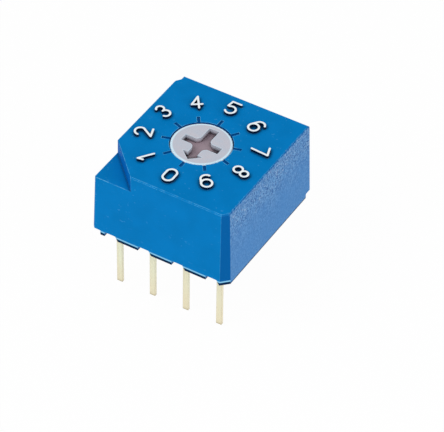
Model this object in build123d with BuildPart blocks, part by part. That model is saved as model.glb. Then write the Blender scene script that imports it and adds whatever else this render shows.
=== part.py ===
from build123d import *
import os
from math import atan2, cos, degrees, radians, sin, sqrt

# Rotary coded switch, ten positions, for a printed circuit board.
# Row frame in millimetres: the rotor turns about Z, and z = 0 is the board's top face,
# where the housing's feet stand. Position 0 is at -Y, over the row of the four code pins.

# Housing
body_width = 10.1
body_depth = 10.66
body_shift_x = 0.12
rim_z = 0.35
top_z = 5.85
side_draft = 1.9
top_edge_break = 0.08
top_edge_slope = 40
front_left_chamfer = 0.15
front_right_chamfer = 0.5
back_right_chamfer = 0.1
step_width = 0.26
step_length = 0.47
step_slope = 0.35
notch_reach = 7.24
notch_floor_z = 4.68
recess_width = 8.7
recess_depth = 9.3
cavity_radius = 4.2
cavity_top_z = 4.85
boss_radius = 2.9
boss_bottom_z = 4.35
bore_radius = 2.08

# Feet under the rim
foot_gap_width = 0.8
foot_slope = 0.2
foot_cut_depth = 0.9
foot_gap_shift = 0.2
corner_relief = 0.6

# Dial
positions = 10
position_angle = 360 / positions
first_position_angle = -90
numeral_radius = 3.82
numeral_half_width = 0.35
numeral_half_height = 0.56
numeral_stroke = 0.14
numeral_relief = 0.2
tick_inner_radius = 1.95
tick_outer_radius = 2.62
tick_width = 0.2
tick_depth = 0.05

# Rotor
rotor_radius = 2.03
rotor_top_z = 5.8
rotor_edge_round = 0.08
wheel_radius = 3.0
wheel_top_z = 4.3
wheel_bottom_z = 3.5
scallop_radius = 0.35
scallop_centre_radius = 3.1
flange_radius = 3.6
flange_bottom_z = 3.0
pivot_radius = 0.75
pivot_bottom_z = 1.05
slot_depth = 0.42
slot_arm_length = 1.36
slot_arm_width = 0.6
slot_stem_width = 0.72
slot_back_y = 1.6
arrow_barb_y = -1.08
arrow_half_width = 0.74
arrow_tip_y = -1.7
slot_lobe_round = 0.34

# Shaft seal
seal_section_radius = 0.21
seal_centre_z = 4.72
seal_groove_height = 0.46
seal_groove_radius = 1.62
seal_groove_gap = 0.01

# Code plate
plate_outer_radius = 3.5
plate_inner_radius = 0.95
plate_thickness = 0.1
track_width = 0.35
window_end_angle = 4

# Base and potting
base_fit_gap = 0.02
base_bottom_z = 0.75
base_top_z = 1.75
pivot_hole_radius = 0.8
pivot_hole_floor_z = 0.95
potting_bottom_z = 0.45

# Terminals
pin_pitch = 2.54
row_pins = 4
row_y = 3.81
pin_width = 0.4
pin_thickness = 0.2
pin_tip_z = -5.1
pin_tip_chamfer = 0.06
bar_bottom_z = 1.1
bar_top_z = 1.35
strip_thickness = 0.1
strip_width = 0.32
contact_gap = 0.02
finger_tail = 0.3
knee_z = 1.95

# Detent spring
spring_radius = 4.08
spring_thickness = 0.12
spring_bottom_z = 3.62
spring_top_z = 4.2
spring_nib_radius = 2.92
spring_shoulder_radius = 3.4
spring_shoulder_x = 0.4
spring_end_angle = 18

# name: (code weight, pin x, track radius, finger x, finger root y)
bit_terminals = {
    "terminal_1": (1, -1.5 * pin_pitch, 3.225, -3.225, -2.2),
    "terminal_4": (4, -0.5 * pin_pitch, 2.225, -0.5 * pin_pitch, -3.4),
    "terminal_8": (8, 0.5 * pin_pitch, 1.725, 0.5 * pin_pitch, -3.4),
    "terminal_2": (2, 1.5 * pin_pitch, 2.725, 2.725, -2.2),
}
common_track_radius = 1.25
common_root_y = 3.3


def position_angles():
    """Angle of each dial position, from 0 to 9; the numbers run clockwise seen from above."""
    return [first_position_angle - position_angle * number for number in range(positions)]


def contact_y(track_radius, finger_x):
    """Where a finger that lies at finger_x meets its track, on the front side of the axis."""
    return -sqrt(max(track_radius**2 - finger_x**2, 0))


def write(block, name):
    """Name a finished piece and write it."""
    block.part.label = name
    export_step(block.part, f"parts/{name}.step")


def polar(centre, radius, angle):
    """A point at a distance and an angle in radians from a centre."""
    return (centre[0] + radius * cos(angle), centre[1] + radius * sin(angle))


def bar(start, end):
    """Centre line of a straight stroke."""
    return Edge.make_line(start, end)


def bow(centre, radius, start_angle, end_angle):
    """Centre line of a round stroke, anticlockwise from start_angle to end_angle."""
    return Edge.make_circle(radius, Plane(centre), start_angle, end_angle)


def numeral_lines(digit):
    """Centre lines of one numeral's strokes, upright about its own middle."""
    w = numeral_half_width
    h = numeral_half_height
    if digit == 0:
        return [
            bar((w, w - h), (w, h - w)),
            bow((0, h - w), w, 0, 180),
            bar((-w, h - w), (-w, w - h)),
            bow((0, w - h), w, 180, 360),
        ]
    if digit == 1:
        return [bar((0, -h), (0, h)), bar((0, h), (-0.7 * w, 0.55 * h))]
    if digit == 2:
        return [bow((0, h - w), w, -35, 165), bar((0.82 * w, 0.04 * h), (-w, -h)), bar((-w, -h), (w, -h))]
    if digit == 3:
        upper = 0.47 * h
        lower = 0.53 * h
        return [bow((0, h - upper), upper, -90, 155), bow((0, lower - h), lower, -155, 90)]
    if digit == 4:
        foot = 0.3 * w
        shelf = -0.35 * h
        return [bar((foot, -h), (foot, h)), bar((foot, h), (-w, shelf)), bar((-w, shelf), (w, shelf))]
    if digit == 5:
        bowl = 0.62 * h
        return [
            bar((w, h), (-0.8 * w, h)),
            bar((-0.8 * w, h), (-w, 0.12 * h)),
            bow((-0.08 * w, bowl - h), bowl, -145, 128),
        ]
    if digit == 6:
        bowl = [bow((0, w - h), w, 0, 180), bow((0, w - h), w, 180, 360)]
        return bowl + [bar((-w, w - h), (-w, h - w)), bow((0, h - w), w, 50, 180)]
    if digit == 7:
        return [bar((-w, h), (w, h)), bar((w, h), (-0.25 * w, -h))]
    if digit == 8:
        upper = 0.47 * h
        lower = 0.53 * h
        centres = [((0, h - upper), upper), ((0, lower - h), lower)]
        return [bow(c, r, a, a + 180) for c, r in centres for a in (0, 180)]
    bowl = [bow((0, h - w), w, 0, 180), bow((0, h - w), w, 180, 360)]
    return bowl + [bar((w, h - w), (w, w - h)), bow((0, w - h), w, 230, 360)]


def numeral_face(digit):
    """One numeral as flat strokes with round ends."""
    with BuildSketch() as numeral:
        for line in numeral_lines(digit):
            SlotArc(line, numeral_stroke)
    return numeral.sketch


def housing_outline():
    """Corners of the housing's plan at the rim, anticlockwise from the front left."""
    left = body_shift_x - body_width / 2
    right = body_shift_x + body_width / 2
    front = -body_depth / 2
    back = body_depth / 2
    step_start = back - step_length - step_slope
    return [
        (left + front_left_chamfer, front),
        (right - front_right_chamfer, front),
        (right, front + front_right_chamfer),
        (right, back - back_right_chamfer),
        (right - back_right_chamfer, back),
        (left + step_width, back),
        (left + step_width, back - step_length),
        (left, step_start),
        (left, front + front_left_chamfer),
    ]


def make_housing():
    numerals = [numeral_face(digit) for digit in range(positions)]
    far = body_depth
    with BuildPart() as housing:
        # Moulded block with drafted walls
        with BuildSketch(Plane.XY.offset(rim_z)):
            Polygon(*housing_outline(), align=None)
        extrude(amount=top_z - top_edge_break - rim_z, taper=side_draft)
        extrude(housing.faces().sort_by(Axis.Z)[-1], amount=top_edge_break, taper=top_edge_slope)
        # Corner cut that marks pin 1
        with BuildSketch(Plane.XY.offset(notch_floor_z)):
            Polygon((-far, far - notch_reach), (-far, -far), (far - notch_reach, -far), align=None)
        extrude(amount=top_z, mode=Mode.SUBTRACT)
        # Feet: a skirt under the walls, with gaps on the pin pitch front and back, open at three corners
        with BuildSketch(Plane.XY):
            Polygon(*housing_outline(), align=None)
        extrude(amount=rim_z)
        gap_centres = [(pin_pitch * (i - (row_pins - 1) / 2) + foot_gap_shift, 0) for i in range(row_pins)]
        half_gap = foot_gap_width / 2
        gap = [(-half_gap, rim_z), (-half_gap, 0), (half_gap + foot_slope, 0), (half_gap, rim_z)]
        for side in (-1, 1):
            with BuildSketch(Plane.XZ.offset(side * body_depth / 2)):
                with Locations(*gap_centres):
                    Polygon(*gap, align=None)
            extrude(amount=-side * foot_cut_depth, mode=Mode.SUBTRACT)
        open_corners = [
            (body_shift_x + x * body_width / 2, y * body_depth / 2) for x, y in ((-1, -1), (-1, 1), (1, 1))
        ]
        with BuildSketch(Plane.XY):
            with Locations(*open_corners):
                Rectangle(2 * corner_relief, 2 * corner_relief)
        extrude(amount=rim_z, mode=Mode.SUBTRACT)
        # Recess for the base, and the round chamber for the rotor
        with BuildSketch(Plane.XY):
            with Locations((body_shift_x, 0)):
                Rectangle(recess_width, recess_depth)
        extrude(amount=base_top_z, mode=Mode.SUBTRACT)
        with BuildSketch(Plane.XY.offset(base_top_z)):
            Circle(cavity_radius)
        extrude(amount=cavity_top_z - base_top_z, mode=Mode.SUBTRACT)
        # Bearing boss under the roof, and the bore through both
        with BuildSketch(Plane.XY.offset(boss_bottom_z)):
            Circle(boss_radius)
        extrude(amount=cavity_top_z - boss_bottom_z)
        with BuildSketch(Plane.XY.offset(boss_bottom_z)):
            Circle(bore_radius)
        extrude(amount=top_z - boss_bottom_z, mode=Mode.SUBTRACT)
        # Engraved ticks, open into the bore
        with BuildSketch(Plane.XY.offset(top_z - tick_depth)):
            with PolarLocations((tick_inner_radius + tick_outer_radius) / 2, positions, first_position_angle):
                Rectangle(tick_outer_radius - tick_inner_radius, tick_width)
        extrude(amount=tick_depth, mode=Mode.SUBTRACT)
        # Raised numerals, read from outside the dial
        with BuildSketch(Plane.XY.offset(top_z)):
            for numeral, angle in zip(numerals, position_angles()):
                spot = polar((0, 0), numeral_radius, radians(angle))
                with Locations(Location((spot[0], spot[1], 0), (0, 0, angle - 90))):
                    add(numeral)
        extrude(amount=numeral_relief)
    write(housing, "housing")


def make_rotor(code_plate):
    with BuildPart() as rotor:
        # Head in the housing's bore, with its rounded face edge
        with BuildSketch(Plane.XY.offset(wheel_top_z)):
            Circle(rotor_radius)
        extrude(amount=rotor_top_z - wheel_top_z)
        fillet(rotor.faces().sort_by(Axis.Z)[-1].edges(), rotor_edge_round)
        # Groove for the shaft seal
        with BuildSketch(Plane.XY.offset(seal_centre_z - seal_groove_height / 2)):
            Circle(rotor_radius)
            Circle(seal_groove_radius, mode=Mode.SUBTRACT)
        extrude(amount=seal_groove_height, mode=Mode.SUBTRACT)
        # Detent wheel with one scallop for each position
        with BuildSketch(Plane.XY.offset(wheel_bottom_z)):
            Circle(wheel_radius)
            with PolarLocations(scallop_centre_radius, positions, first_position_angle):
                Circle(scallop_radius, mode=Mode.SUBTRACT)
        extrude(amount=wheel_top_z - wheel_bottom_z)
        # Code flange, moulded through the plate's windows
        with BuildSketch(Plane.XY.offset(flange_bottom_z)):
            Circle(flange_radius)
        extrude(amount=wheel_bottom_z - flange_bottom_z)
        # Pivot that turns in the base
        with BuildSketch(Plane.XY.offset(pivot_bottom_z)):
            Circle(pivot_radius)
        extrude(amount=flange_bottom_z - pivot_bottom_z)
        # Screwdriver cross whose front arm is the pointer
        with BuildSketch(Plane.XY.offset(rotor_top_z - slot_depth)) as slot:
            Rectangle(2 * slot_arm_length, slot_arm_width)
            stem_length = slot_back_y - arrow_barb_y
            with Locations((0, slot_back_y - stem_length / 2)):
                Rectangle(slot_stem_width, stem_length)
            inner_corners = slot.vertices().filter_by(lambda v: Vector(v.X, v.Y).length < slot_arm_width)
            fillet(inner_corners, slot_lobe_round)
            arrow = [(-arrow_half_width, arrow_barb_y), (0, arrow_tip_y), (arrow_half_width, arrow_barb_y)]
            Polygon(*arrow, align=None)
        extrude(amount=slot_depth, mode=Mode.SUBTRACT)
        # Room for the plate that is moulded in
        add(code_plate, mode=Mode.SUBTRACT)
    write(rotor, "rotor")


def make_seal():
    centre_radius = seal_groove_radius + seal_groove_gap + seal_section_radius
    with BuildPart() as seal:
        with BuildSketch(Plane.XZ):
            with Locations((centre_radius, seal_centre_z)):
                Circle(seal_section_radius)
        revolve(axis=Axis.Z)
    write(seal, "shaft_seal")


def window_spans(weight):
    """Runs of positions whose number has no such weight, as (first position, count)."""
    closed = [not number & weight for number in range(positions)]
    starts = [n for n in range(positions) if closed[n] and not closed[n - 1]]
    spans = []
    for start in starts:
        count = 1
        while closed[(start + count) % positions]:
            count += 1
        spans.append((start, count))
    return spans


def make_code_plate():
    with BuildPart() as plate:
        with BuildSketch(Plane.XY.offset(flange_bottom_z)):
            Circle(plate_outer_radius)
            Circle(plate_inner_radius, mode=Mode.SUBTRACT)
            for weight, _, radius, finger_x, _ in bit_terminals.values():
                touch = degrees(atan2(contact_y(radius, finger_x), finger_x))
                for start, count in window_spans(weight):
                    # Turning to a higher position brings the next sector over the finger
                    low = touch + position_angle * (start - 0.5)
                    high = low + position_angle * count
                    window = bow((0, 0), radius, low + window_end_angle, high - window_end_angle)
                    SlotArc(window, track_width, mode=Mode.SUBTRACT)
        extrude(amount=plate_thickness)
    write(plate, "code_plate")
    return plate.part


def make_terminal(name, pin, root, touch):
    """A stamped terminal: pin, bar inside the base, and a sprung finger from root to touch."""
    with BuildPart() as terminal:
        with BuildSketch(Plane.XY.offset(pin_tip_z)):
            with Locations(pin):
                Rectangle(pin_width, pin_thickness)
        extrude(amount=bar_top_z - pin_tip_z)
        tip = terminal.faces().sort_by(Axis.Z)[0]
        chamfer(tip.edges(), pin_tip_chamfer)
        with BuildSketch(Plane.XY.offset(bar_bottom_z)):
            with Locations(pin):
                Rectangle(pin_width, pin_thickness)
            with Locations(root):
                Rectangle(strip_width, strip_width)
            make_hull()
        extrude(amount=bar_top_z - bar_bottom_z)
        touch_z = flange_bottom_z - contact_gap - strip_thickness / 2
        direction = 1 if touch[1] > root[1] else -1
        tail = (touch[1] + direction * finger_tail, touch_z - finger_tail / 2)
        points = [(root[1], bar_bottom_z + strip_thickness), (root[1], knee_z), (touch[1], touch_z), tail]
        with BuildSketch(Plane.YZ.offset(root[0])):
            for start, end in zip(points, points[1:]):
                SlotArc(bar(start, end), strip_thickness)
        extrude(amount=strip_width / 2, both=True)
    write(terminal, name)
    return terminal.part


def make_detent_spring():
    end = spring_end_angle
    shoulder = (spring_shoulder_x, spring_shoulder_radius)
    back = polar((0, 0), spring_radius, radians(90 + end))
    with BuildPart() as spring:
        with BuildSketch(Plane.XY.offset(spring_bottom_z)):
            SlotArc(bow((0, 0), spring_radius, 90 + end, 270 - end), spring_thickness)
            for side in (-1, 1):
                points = [
                    (back[0], side * back[1]),
                    (-shoulder[0], side * shoulder[1]),
                    (0, side * spring_nib_radius),
                    (shoulder[0], side * shoulder[1]),
                ]
                for first, second in zip(points, points[1:]):
                    SlotArc(bar(first, second), spring_thickness)
        extrude(amount=spring_top_z - spring_bottom_z)
    write(spring, "detent_spring")


def make_base(terminals):
    with BuildPart() as base:
        with BuildSketch(Plane.XY.offset(base_bottom_z)):
            with Locations((body_shift_x, 0)):
                Rectangle(recess_width - 2 * base_fit_gap, recess_depth - 2 * base_fit_gap)
        extrude(amount=base_top_z - base_bottom_z)
        with BuildSketch(Plane.XY.offset(pivot_hole_floor_z)):
            Circle(pivot_hole_radius)
        extrude(amount=base_top_z - pivot_hole_floor_z, mode=Mode.SUBTRACT)
        for terminal in terminals:
            add(terminal, mode=Mode.SUBTRACT)
    write(base, "base")


def make_potting(pins):
    with BuildPart() as potting:
        with BuildSketch(Plane.XY.offset(potting_bottom_z)):
            with Locations((body_shift_x, 0)):
                Rectangle(recess_width, recess_depth)
            with Locations(*pins):
                Rectangle(pin_width, pin_thickness, mode=Mode.SUBTRACT)
        extrude(amount=base_bottom_z - potting_bottom_z)
    write(potting, "potting")


os.makedirs("parts", exist_ok=True)
make_housing()
make_rotor(make_code_plate())
make_seal()
make_detent_spring()
pins = [(pin_x, -row_y) for _, pin_x, _, _, _ in bit_terminals.values()]
terminals = [
    make_terminal(name, (pin_x, -row_y), (finger_x, root_y), (finger_x, contact_y(radius, finger_x)))
    for name, (_, pin_x, radius, finger_x, root_y) in bit_terminals.items()
]
common_pin = (0, row_y)
common = make_terminal("terminal_common", common_pin, (0, common_root_y), (0, common_track_radius))
make_base(terminals + [common])
make_potting(pins + [common_pin])
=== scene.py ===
from math import radians

import bmesh
import bpy
from mathutils import Matrix, Vector


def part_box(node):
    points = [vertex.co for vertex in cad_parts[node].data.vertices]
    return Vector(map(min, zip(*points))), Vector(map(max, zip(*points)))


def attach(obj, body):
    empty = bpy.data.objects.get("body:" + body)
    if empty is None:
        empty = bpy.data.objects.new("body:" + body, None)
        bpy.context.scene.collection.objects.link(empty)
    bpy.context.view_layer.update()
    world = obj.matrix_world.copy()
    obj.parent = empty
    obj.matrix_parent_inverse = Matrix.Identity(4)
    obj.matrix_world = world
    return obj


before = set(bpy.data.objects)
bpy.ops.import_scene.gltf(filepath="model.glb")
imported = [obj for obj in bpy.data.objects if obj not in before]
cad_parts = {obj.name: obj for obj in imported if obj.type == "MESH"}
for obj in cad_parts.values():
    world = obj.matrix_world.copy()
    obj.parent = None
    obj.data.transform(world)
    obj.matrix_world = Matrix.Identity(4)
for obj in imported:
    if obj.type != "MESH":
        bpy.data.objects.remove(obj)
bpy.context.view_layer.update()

MM = 0.001
WHITE = (1.0, 1.0, 1.0)

# Camera, in millimetres and degrees in the row's frame
AIM = Vector((1.42, 0.33, 0.0))
CAMERA_AZIMUTH = 30.44
CAMERA_ELEVATION = 42.57
CAMERA_ROLL = 1.07
CAMERA_DISTANCE = 186.5
LENS = 232.5
SENSOR_WIDTH = 36.0
NEAR_CLIP = 1 * MM
FAR_CLIP = 10.0

# Studio, in millimetres where it is a place
WORLD_LEVEL = 0.52
KEY_PLACE = (-60, -110, 150)
KEY_SIZE = 90 * MM
KEY_POWER = 0.14
FILL_PLACE = (150, -30, 60)
FILL_SIZE = 110 * MM
FILL_POWER = 0.09
FLOOR_SIZE = 600 * MM
FLOOR_GLOW = 0.97

# Places on the part, from the frame and the part's own sizes
housing_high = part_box("housing")[1]
rotor_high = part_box("rotor")[1]
pin_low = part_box("terminal_1")[0]
RELIEF = 0.2 * MM
TOP_Z = housing_high[2] - RELIEF
RIM_Z = 0.35 * MM
NOTCH_Z = 4.68 * MM
WALL_DRAFT = 0.18 * MM
TICK_END = 2.7 * MM
ROTOR_Z = rotor_high[2]
ROTOR_RADIUS = 2.03 * MM
PIN_TIP_Z = pin_low[2]
INK_THICKNESS = 0.02 * MM

# Base colours, linear
BLUE = (0.0003, 0.192, 0.520)
BLUE_LIGHT = (0.0006, 0.208, 0.565)
BLUE_SPECK = (0.06, 0.34, 0.70)
# Painted shade on the front right chamfer
BLUE_CORNER_SHADE = (0.0012, 0.100, 0.345)
# Painted shade in the housing's crevices and around the numerals
BLUE_CREVICE_SHADE = (0.0006, 0.070, 0.250)
BLUE_HALO_SHADE = (0.0004, 0.012, 0.060)
# Painted shade on the raised numerals' sides
BLUE_NUMERAL_WALL_SHADE = (0.0004, 0.010, 0.035)
# Painted highlight on the housing's edges
BLUE_EDGE_HIGHLIGHT = (0.17, 0.60, 0.93)
# Painted shade in the engraved ticks
BLUE_TICK_SHADE = (0.0004, 0.075, 0.280)
# Painted shade on the notch's wall
BLUE_NOTCH_SHADE = (0.0002, 0.125, 0.480)
# Painted shade on the feet, then a painted highlight line along the rim
BLUE_FOOT_SHADE = (0.0005, 0.020, 0.070)
BLUE_RIM_HIGHLIGHT = (0.30, 0.70, 0.95)
# Spark-eroded grain, paler than the blue as painted sheen, and a painted glint
GRAIN_LOW = (0.002, 0.085, 0.320)
GRAIN_HIGH = (0.160, 0.380, 0.670)
SHEEN_BLUE_SMOOTH = (0.048, 0.222, 0.540)
GRAIN_GLINT = (0.42, 0.58, 0.78)
WHITE_INK = (0.96, 0.99, 1.0)
WHITE_INK_WORN = (0.84, 0.93, 0.98)
WHITE_INK_THIN = (0.30, 0.60, 0.80)
GREY = (0.53, 0.57, 0.66)
GREY_WARM = (0.57, 0.57, 0.64)
# Painted highlight on the rotor's rim
GREY_RIM_HIGHLIGHT = (0.68, 0.88, 1.0)
# Painted brown shade, painted light and painted shadow in the rotor's cross
SLOT_BROWN_SHADE = (0.340, 0.260, 0.300)
SLOT_LIT = (0.42, 0.39, 0.42)
SLOT_DARK_SHADE = (0.035, 0.022, 0.035)
GOLD_PALE = (0.86, 0.87, 0.66)
GOLD_WARM = (0.86, 0.77, 0.54)
# Cut ends of the pins, also used for painted shade on their edges and in crevices
GOLD_CUT_AND_SHADE = (0.45, 0.38, 0.22)
CONTACT_GOLD = (0.83, 0.62, 0.25)
CONTACT_GOLD_DEEP = (0.70, 0.50, 0.20)
SPRING_GREY = (0.6, 0.6, 0.6)
SPRING_GREY_DEEP = (0.5, 0.5, 0.5)
RUBBER = (0.03, 0.03, 0.03)
RUBBER_DEEP = (0.02, 0.02, 0.02)
BASE_BLUE = (0.01, 0.03, 0.07)
BASE_BLUE_DEEP = (0.006, 0.02, 0.05)
RESIN = (0.02, 0.05, 0.12)
RESIN_DEEP = (0.015, 0.04, 0.10)
FLOOR_WHITE = (0.93, 0.93, 0.93)

# Noise, in cells per metre
CLOUDS = 700
PATCHES = 900
RESIN_CLOUDS = 1500
EDGE_BREAKS = 2500
ROTOR_MOTTLE = 2500
GOLD_STREAKS = 3000
PLAIN_GRAIN = 5000
SPECKS = 5500
FRINGE_RAGS = 6000
INK_WEAR = 6000
GLINTS = 6500
EROSION = 7000
ROTOR_SKIN = 8000
INK_SKIN = 9000
SLOT_SKIN = 9000
FINE_SKIN = 12000
SPECK_STRETCH = (0.6, 0.6, 1.0)
DRAWN_STRETCH = (1.0, 1.0, 0.08)

# Surface detail, and the reach of painted shade and highlights
SKIN_DEPTH = 0.01 * MM
EROSION_DEPTH = 0.03 * MM
EROSION_START_Z = 1.5 * MM
FRINGE_WIDTH = 0.10 * MM
FRINGE_RAGGEDNESS = 0.35 * MM
RIM_LINE = 0.08 * MM
HOUSING_CREVICE = 0.32 * MM
HOUSING_EDGE = 0.07 * MM
INK_EDGE = 0.03 * MM
ROTOR_EDGE = 0.07 * MM
PIN_CREVICE = 0.4 * MM
PIN_EDGE = 0.03 * MM
SLOT_REACH = 0.75 * MM
SLOT_SHADOW = (0.55, -0.60, 0.58)

# Where a mask starts and where it is full
SOFT = (0.3, 0.7)
MIDDLE = (0.35, 0.65)
OPEN_TO_CLOSED = (0.95, 0.35)
SLOT_OPEN_TO_CLOSED = (0.75, 0.50)
FLAT_TO_EDGE = (0.995, 0.90)
SIDE_WALL = (0.80, 0.92)
RIGHT_CHAMFER = (0.45, 0.60)
LEFT_CHAMFER = (-0.45, -0.60)
LEVEL_FACE = (0.80, 0.95)
UPRIGHT_FACE = (0.5, 0.3)
STEEP_FACE = (0.7, 0.5)


class Nodes:
    """A node tree under construction."""

    def __init__(self, name):
        self.material = bpy.data.materials.new(name)
        self.material.use_nodes = True
        self.tree = self.material.node_tree
        self.tree.nodes.clear()
        self.output = self.add("ShaderNodeOutputMaterial")
        self.place = self.add("ShaderNodeTexCoord").outputs["Object"]

    def add(self, kind, inputs=None, **settings):
        node = self.tree.nodes.new(kind)
        for key, value in settings.items():
            setattr(node, key, value)
        for key, value in (inputs or {}).items():
            self.feed(node.inputs[key], value)
        return node

    def feed(self, socket, value):
        if isinstance(value, bpy.types.NodeSocket):
            self.tree.links.new(value, socket)
        elif isinstance(value, tuple) and len(value) == 3 and socket.type == "RGBA":
            socket.default_value = (*value, 1.0)
        else:
            socket.default_value = value

    def noise(self, scale, detail=2.0, roughness=0.5, stretch=None):
        """Noise whose grains are 1/scale metres wide."""
        place = self.place
        if stretch:
            place = self.add("ShaderNodeMapping", {"Vector": place, "Scale": stretch}).outputs[0]
        inputs = {"Vector": place, "Scale": scale, "Detail": detail, "Roughness": roughness}
        return self.add("ShaderNodeTexNoise", inputs).outputs["Fac"]

    def ramp(self, value, start, full):
        """Rises smoothly from 0 at start to 1 at full."""
        inputs = {"Value": value, "From Min": start, "From Max": full}
        return self.add("ShaderNodeMapRange", inputs, interpolation_type="SMOOTHSTEP").outputs["Result"]

    def maths(self, operation, a, b=0.0):
        return self.add("ShaderNodeMath", {0: a, 1: b}, operation=operation).outputs[0]

    def times(self, a, b):
        return self.maths("MULTIPLY", a, b)

    def plus(self, a, b):
        return self.maths("ADD", a, b)

    def size(self, value):
        return self.maths("ABSOLUTE", value)

    def outside(self, mask):
        return self.maths("SUBTRACT", 1.0, mask)

    def mix(self, factor, a, b):
        node = self.add("ShaderNodeMix", data_type="RGBA")
        first, second = node.inputs[6], node.inputs[7]
        self.feed(node.inputs["Factor"], factor)
        self.feed(first, a)
        self.feed(second, b)
        return node.outputs[2]

    def blend(self, factor, first, second):
        return self.add("ShaderNodeMixShader", {0: factor, 1: first, 2: second}).outputs[0]

    def bump(self, height, strength, distance=SKIN_DEPTH):
        inputs = {"Height": height, "Strength": strength, "Distance": distance}
        return self.add("ShaderNodeBump", inputs).outputs["Normal"]

    def split(self, vector):
        return self.add("ShaderNodeSeparateXYZ", {"Vector": vector}).outputs

    def facing(self):
        return self.add("ShaderNodeNewGeometry").outputs["Normal"]

    def from_axis(self, spot):
        """Distance from the rotor's axis."""
        across = self.add("ShaderNodeCombineXYZ", {"X": spot["X"], "Y": spot["Y"]}).outputs[0]
        return self.add("ShaderNodeVectorMath", {0: across}, operation="LENGTH").outputs["Value"]

    def crevice(self, reach, towards=None, limits=OPEN_TO_CLOSED):
        """1 in tight corners, 0 in the open; with a direction, only beside walls that way."""
        inputs = {"Distance": reach}
        if towards:
            inputs["Normal"] = self.add("ShaderNodeCombineXYZ", dict(zip("XYZ", towards))).outputs[0]
        sky = self.add("ShaderNodeAmbientOcclusion", inputs, samples=8).outputs["AO"]
        return self.ramp(sky, *limits)

    def edge(self, radius):
        """1 on an edge, 0 on a flat face."""
        rounded = self.add("ShaderNodeBevel", {"Radius": radius}, samples=6).outputs[0]
        along = self.add("ShaderNodeVectorMath", {0: rounded, 1: self.facing()}, operation="DOT_PRODUCT")
        return self.ramp(along.outputs["Value"], *FLAT_TO_EDGE)

    def shade(self, color, roughness, normal=None, **constants):
        inputs = {"Base Color": color, "Roughness": roughness}
        if normal:
            inputs["Normal"] = normal
        inputs.update({key.replace("_", " "): value for key, value in constants.items()})
        return self.add("ShaderNodeBsdfPrincipled", inputs).outputs[0]

    def finish(self, shader):
        self.tree.links.new(shader, self.output.inputs["Surface"])
        return self.material


# Housing


def housing_material():
    """Blue moulding: smooth top and front, spark-eroded grain on the two sides with painted sheen, darker
    in its crevices as painted shade, with painted shade and highlights on corners, ticks, feet and edges.
    """
    n = Nodes("housing_blue")
    normal = n.split(n.facing())
    spot = n.split(n.place)
    side = side_mask(n, normal, spot)
    fine = n.noise(FINE_SKIN, 3.0, 0.6)
    grain = n.noise(EROSION, 3.0, 0.8)
    color = n.mix(side, smooth_blue(n), grain_and_sheen_blue(n, spot, grain))
    color = right_corner_shade(n, color, normal, side)
    color = left_corner_light_and_shade(n, color, normal, spot)
    color = feet_shade_and_rim_highlight(n, color, normal, spot, side)
    color = n.mix(tick_shade_mask(n, spot), color, BLUE_TICK_SHADE)
    color = n.mix(n.crevice(HOUSING_CREVICE), color, crevice_shade_blue(n, normal, spot))
    color = numeral_wall_shade(n, color, normal, spot)
    smooth = n.shade(color, 0.5, n.bump(fine, 0.12), Specular_IOR_Level=0.02)
    uneven = n.bump(n.mix(side, fine, grain), 0.5, EROSION_DEPTH)
    rough = n.shade(color, 0.5, uneven, Specular_IOR_Level=0.15)
    return n.finish(n.blend(side, smooth, rough))


def side_mask(n, normal, spot):
    """1 on the walls that face left or right, and in a ragged fringe along the top's right edge."""
    wall = n.ramp(n.size(normal["X"]), *SIDE_WALL)
    swing = n.maths("SUBTRACT", n.noise(FRINGE_RAGS, 3.0, 0.7), 0.5)
    ragged_x = n.plus(spot["X"], n.times(swing, FRINGE_RAGGEDNESS))
    edge_x = housing_high[0] - WALL_DRAFT
    fringe = n.ramp(ragged_x, edge_x - FRINGE_WIDTH, edge_x)
    fringe = n.times(fringe, n.ramp(spot["Z"], TOP_Z - 3 * FRINGE_WIDTH, TOP_Z - FRINGE_WIDTH))
    return n.maths("MAXIMUM", wall, n.times(fringe, 0.8))


def smooth_blue(n):
    """The plain faces: faint clouds, a few pale specks and pale, broken edges that are a painted
    highlight.
    """
    color = n.mix(n.ramp(n.noise(CLOUDS, 3.0), *SOFT), BLUE, BLUE_LIGHT)
    specks = n.ramp(n.noise(SPECKS, 2.0, 0.6, stretch=SPECK_STRETCH), 0.67, 0.74)
    color = n.mix(n.times(specks, 0.45), color, BLUE_SPECK)
    broken = n.ramp(n.noise(EDGE_BREAKS, 2.0), 0.35, 0.60)
    edge_highlight = n.times(n.edge(HOUSING_EDGE), n.plus(n.times(broken, 0.7), 0.15))
    return n.mix(edge_highlight, color, BLUE_EDGE_HIGHLIGHT)


def grain_and_sheen_blue(n, spot, grain):
    """Spark-eroded wall: real grain, paler than the front as painted sheen, coarse and pale near the top
    edge with painted glints, calmer lower down.
    """
    rise = n.ramp(spot["Z"], EROSION_START_Z, TOP_Z)
    patch = n.ramp(n.noise(PATCHES, 2.0), *MIDDLE)
    coarse = n.times(n.plus(rise, 0.3), n.plus(n.times(patch, 0.4), 0.6))
    coarse = n.add("ShaderNodeClamp", {"Value": coarse}).outputs[0]
    speckled = n.mix(n.ramp(grain, 0.38, 0.62), GRAIN_LOW, GRAIN_HIGH)
    glints = n.times(n.ramp(n.noise(GLINTS, 2.0, 0.6), 0.58, 0.68), n.times(rise, 0.7))
    speckled = n.mix(glints, speckled, GRAIN_GLINT)
    return n.mix(coarse, SHEEN_BLUE_SMOOTH, speckled)


def right_corner_shade(n, color, normal, side):
    """The front right chamfer is darker than both its neighbours: painted shade."""
    shade_strip = n.times(n.ramp(normal["X"], *RIGHT_CHAMFER), n.outside(side))
    return n.mix(n.times(shade_strip, 0.85), color, BLUE_CORNER_SHADE)


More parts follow.
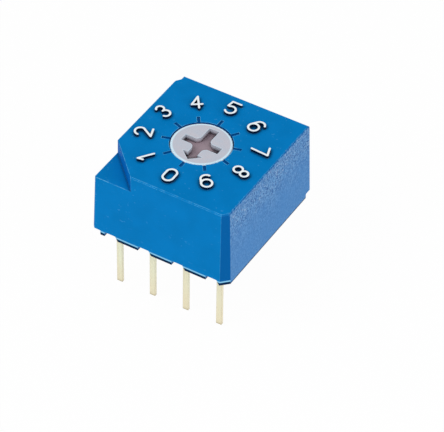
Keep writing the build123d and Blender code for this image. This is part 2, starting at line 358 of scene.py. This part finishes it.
def left_corner_light_and_shade(n, color, normal, spot):
    """The notch's wall is darker, as painted shade, and the corner under it paler, as painted light, than
    the front.
    """
    towards = n.times(n.ramp(normal["X"], *LEFT_CHAMFER), n.ramp(normal["Y"], *LEFT_CHAMFER))
    above_notch = n.ramp(spot["Z"], NOTCH_Z, NOTCH_Z + 0.05 * MM)
    return n.mix(n.times(towards, 0.85), color, n.mix(above_notch, SHEEN_BLUE_SMOOTH, BLUE_NOTCH_SHADE))


def feet_shade_and_rim_highlight(n, color, normal, spot, side):
    """A painted highlight line at the rim over feet darkened as painted shade; on the two grained sides
    only the lowest edge is darkened as painted shade.
    """
    upright = n.ramp(n.size(normal["Z"]), *UPRIGHT_FACE)
    line_z = RIM_Z - RIM_LINE
    band = n.ramp(spot["Z"], line_z, line_z - 1.5 * RIM_LINE)
    sole = n.ramp(spot["Z"], 1.6 * RIM_LINE, 0.6 * RIM_LINE)
    foot_shade = n.plus(n.times(band, n.outside(side)), n.times(sole, side))
    color = n.mix(n.times(foot_shade, upright), color, BLUE_FOOT_SHADE)
    offset = n.size(n.maths("SUBTRACT", spot["Z"], line_z))
    line = n.times(n.ramp(offset, RIM_LINE, 0.3 * RIM_LINE), n.outside(side))
    return n.mix(n.times(line, n.times(upright, 0.9)), color, BLUE_RIM_HIGHLIGHT)


def tick_shade_mask(n, spot):
    """The engraved ticks and the lip of the bore, out to the ticks' ends, which are darkened as painted
    shade.
    """
    below_dial = n.ramp(spot["Z"], TOP_Z - 0.01 * MM, TOP_Z - 0.03 * MM)
    return n.times(below_dial, n.ramp(n.from_axis(spot), TICK_END + 0.05 * MM, TICK_END))


def crevice_shade_blue(n, normal, spot):
    """Painted shade in tight corners, darkest on the dial, around the numerals."""
    dial = n.ramp(spot["Z"], TOP_Z - 0.03 * MM, TOP_Z - 0.01 * MM)
    return n.mix(n.times(dial, n.ramp(normal["Z"], *LEVEL_FACE)), BLUE_CREVICE_SHADE, BLUE_HALO_SHADE)


def numeral_wall_shade(n, color, normal, spot):
    """The raised numerals' bare sides, darkened as painted shade under their white tops."""
    above_dial = n.ramp(spot["Z"], TOP_Z + 0.01 * MM, TOP_Z + 0.03 * MM)
    return n.mix(n.times(above_dial, n.ramp(normal["Z"], *STEEP_FACE)), color, BLUE_NUMERAL_WALL_SHADE)


# Ink, rotor, pins and the pieces inside


def ink_material():
    """White marking ink, thin and bluish along its outline."""
    n = Nodes("white_ink")
    wear = n.ramp(n.noise(INK_WEAR, 3.0), 0.25, 0.6)
    color = n.mix(wear, WHITE_INK_WORN, WHITE_INK)
    color = n.mix(n.times(n.edge(INK_EDGE), 0.6), color, WHITE_INK_THIN)
    return n.finish(n.shade(color, 0.45, n.bump(n.noise(INK_SKIN), 0.1)))


def rotor_material():
    """Light grey plastic with a painted highlight on its rim, and painted brown shade down in the cross.
    """
    n = Nodes("rotor_grey")
    spot = n.split(n.place)
    face = n.mix(n.ramp(n.noise(ROTOR_MOTTLE, 3.0), *SOFT), GREY, GREY_WARM)
    rim_highlight = n.ramp(n.from_axis(spot), ROTOR_RADIUS - 0.22 * MM, ROTOR_RADIUS - 0.12 * MM)
    rim_highlight = n.maths("MAXIMUM", rim_highlight, n.times(n.edge(ROTOR_EDGE), 0.9))
    face = n.mix(rim_highlight, face, GREY_RIM_HIGHLIGHT)
    deep_shade = n.ramp(spot["Z"], ROTOR_Z - 0.12 * MM, ROTOR_Z - 0.40 * MM)
    color = n.mix(deep_shade, face, slot_shade_and_light(n, spot))
    normal = n.bump(n.noise(ROTOR_SKIN, 3.0), 0.12)
    return n.finish(n.shade(color, 0.4, normal, Specular_IOR_Level=0.3))


def slot_shade_and_light(n, spot):
    """The cross's floor and walls: paler with painted light at the ends of two arms, dark with painted
    shadow beside the walls at the front.
    """
    right_arm = n.ramp(spot["X"], 0.55 * MM, 0.95 * MM)
    arrow = n.ramp(spot["Y"], -0.8 * MM, -1.2 * MM)
    lit = n.times(n.maths("MAXIMUM", right_arm, arrow), n.ramp(n.noise(SLOT_SKIN, 3.0), 0.3, 0.6))
    shadow = n.crevice(SLOT_REACH, SLOT_SHADOW, SLOT_OPEN_TO_CLOSED)
    return n.mix(shadow, n.mix(lit, SLOT_BROWN_SHADE, SLOT_LIT), SLOT_DARK_SHADE)


def pin_material():
    """Pale gold plating, drawn along the pin, warmer towards the tip and the right, with a cut end, and
    painted shade on its edges and in crevices.
    """
    n = Nodes("pin_gold")
    spot = n.split(n.place)
    streak = n.ramp(n.noise(GOLD_STREAKS, 3.0, stretch=DRAWN_STRETCH), *SOFT)
    low = n.ramp(spot["Z"], PIN_TIP_Z + 2.5 * MM, PIN_TIP_Z)
    right = n.ramp(spot["X"], -1.0 * MM, 5.0 * MM)
    warm = n.times(n.plus(n.plus(streak, low), right), 0.45)
    color = n.mix(warm, GOLD_PALE, GOLD_WARM)
    # Painted shade along the pin's edges
    color = n.mix(n.edge(PIN_EDGE), color, GOLD_CUT_AND_SHADE)
    tip = n.ramp(spot["Z"], PIN_TIP_Z + 0.16 * MM, PIN_TIP_Z + 0.04 * MM)
    color = n.mix(n.times(tip, 0.6), color, GOLD_CUT_AND_SHADE)
    # Painted shade in crevices
    color = n.mix(n.crevice(PIN_CREVICE), color, GOLD_CUT_AND_SHADE)
    return n.finish(n.shade(color, 0.38, n.bump(streak, 0.1), Metallic=0.55))


def plain_material(name, color, darker, roughness, grain=PLAIN_GRAIN, metallic=0.0):
    """One colour with a faint mottle, for the pieces inside and the underside."""
    n = Nodes(name)
    mottle = n.ramp(n.noise(grain, 3.0), *SOFT)
    mottled = n.mix(mottle, color, darker)
    return n.finish(n.shade(mottled, roughness, n.bump(mottle, 0.2), Metallic=metallic))


def dress(node, material):
    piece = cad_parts[node]
    piece.data.materials.clear()
    piece.data.materials.append(material)


def numeral_ink():
    """A thin coat of ink on the tops of the raised numerals."""
    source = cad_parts["housing"]
    mesh = bmesh.new()
    mesh.from_mesh(source.data)
    mesh.transform(source.matrix_world)
    lid = housing_high[2] - 0.1 * RELIEF
    under = [f for f in mesh.faces if min(v.co.z for v in f.verts) < lid]
    bmesh.ops.delete(mesh, geom=under, context="FACES")
    bmesh.ops.remove_doubles(mesh, verts=mesh.verts, dist=0.001 * MM)
    data = bpy.data.meshes.new("numeral_ink")
    mesh.to_mesh(data)
    mesh.free()
    ink = bpy.data.objects.new("numeral_ink", data)
    bpy.context.collection.objects.link(ink)
    coat = ink.modifiers.new("coat", "SOLIDIFY")
    coat.thickness = INK_THICKNESS
    coat.offset = 1.0
    data.materials.append(ink_material())
    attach(ink, "stator")


# Studio


def area_light(name, place, size, power):
    light = bpy.data.lights.new(name, "AREA")
    light.energy = power
    light.size = size
    light.color = WHITE
    lamp = bpy.data.objects.new(name, light)
    lamp.location = Vector(place) * MM
    lamp.rotation_euler = (-lamp.location).to_track_quat("-Z", "Y").to_euler()
    bpy.context.collection.objects.link(lamp)


def studio():
    """Even white surroundings, and two soft lamps."""
    world = bpy.data.worlds.new("studio")
    bpy.context.scene.world = world
    world.use_nodes = True
    tree = world.node_tree
    tree.nodes.clear()
    path = tree.nodes.new("ShaderNodeLightPath")
    seen = tree.nodes.new("ShaderNodeMath")
    seen.operation = "MAXIMUM"
    tree.links.new(path.outputs["Is Camera Ray"], seen.inputs[0])
    tree.links.new(path.outputs["Is Glossy Ray"], seen.inputs[1])
    soft = tree.nodes.new("ShaderNodeBackground")
    soft.inputs["Strength"].default_value = WORLD_LEVEL
    white = tree.nodes.new("ShaderNodeBackground")
    white.inputs["Strength"].default_value = 1.0
    for background in (soft, white):
        background.inputs["Color"].default_value = (*WHITE, 1.0)
    mix = tree.nodes.new("ShaderNodeMixShader")
    out = tree.nodes.new("ShaderNodeOutputWorld")
    tree.links.new(seen.outputs[0], mix.inputs[0])
    tree.links.new(soft.outputs[0], mix.inputs[1])
    tree.links.new(white.outputs[0], mix.inputs[2])
    tree.links.new(mix.outputs[0], out.inputs["Surface"])
    area_light("key", KEY_PLACE, KEY_SIZE, KEY_POWER)
    area_light("right_fill", FILL_PLACE, FILL_SIZE, FILL_POWER)


def floor_sheet():
    """A white floor under the pin tips, which keeps a faint shadow and is clear from below."""
    bpy.ops.mesh.primitive_plane_add(size=FLOOR_SIZE, location=(0, 0, PIN_TIP_Z))
    floor = bpy.context.object
    floor.name = "floor"
    n = Nodes("floor_white")
    matte = n.shade(FLOOR_WHITE, 0.9, Specular_IOR_Level=0.0)
    glow = n.add("ShaderNodeEmission", {"Color": WHITE, "Strength": 1.0}).outputs[0]
    path = n.add("ShaderNodeLightPath").outputs
    seen = n.maths("MAXIMUM", path["Is Camera Ray"], path["Is Glossy Ray"])
    seen = n.maths("MAXIMUM", seen, path["Is Transmission Ray"])
    lit = n.blend(n.times(seen, FLOOR_GLOW), matte, glow)
    below = n.add("ShaderNodeNewGeometry").outputs["Backfacing"]
    clear = n.add("ShaderNodeBsdfTransparent").outputs[0]
    floor.data.materials.append(n.finish(n.blend(below, lit, clear)))


def camera():
    azimuth = radians(CAMERA_AZIMUTH)
    elevation = radians(CAMERA_ELEVATION)
    turn = Matrix.Rotation(azimuth, 3, "Z") @ Matrix.Rotation(-elevation, 3, "X")
    back = turn @ Vector((0, -1, 0))
    roll = Matrix.Rotation(radians(CAMERA_ROLL), 3, back)
    right = roll @ turn @ Vector((1, 0, 0))
    up = roll @ turn @ Vector((0, 0, 1))
    data = bpy.data.cameras.new("camera")
    data.lens = LENS
    data.sensor_width = SENSOR_WIDTH
    data.clip_start = NEAR_CLIP
    data.clip_end = FAR_CLIP
    holder = bpy.data.objects.new("camera", data)
    pose = Matrix((right, up, back)).transposed().to_4x4()
    pose.translation = (AIM + back * CAMERA_DISTANCE) * MM
    holder.matrix_world = pose
    bpy.context.collection.objects.link(holder)
    bpy.context.scene.camera = holder


dress("housing", housing_material())
dress("rotor", rotor_material())
gold = pin_material()
for name in ("terminal_1", "terminal_2", "terminal_4", "terminal_8", "terminal_common"):
    dress(name, gold)
dress("code_plate", plain_material("contact_gold", CONTACT_GOLD, CONTACT_GOLD_DEEP, 0.3, metallic=1.0))
dress("detent_spring", plain_material("spring_steel", SPRING_GREY, SPRING_GREY_DEEP, 0.3, metallic=1.0))
dress("shaft_seal", plain_material("seal_rubber", RUBBER, RUBBER_DEEP, 0.6))
dress("base", plain_material("base_black", BASE_BLUE, BASE_BLUE_DEEP, 0.5))
dress("potting", plain_material("potting_resin", RESIN, RESIN_DEEP, 0.25, grain=RESIN_CLOUDS))
numeral_ink()
floor_sheet()
studio()
camera()
bpy.context.scene.view_settings.view_transform = "Standard"
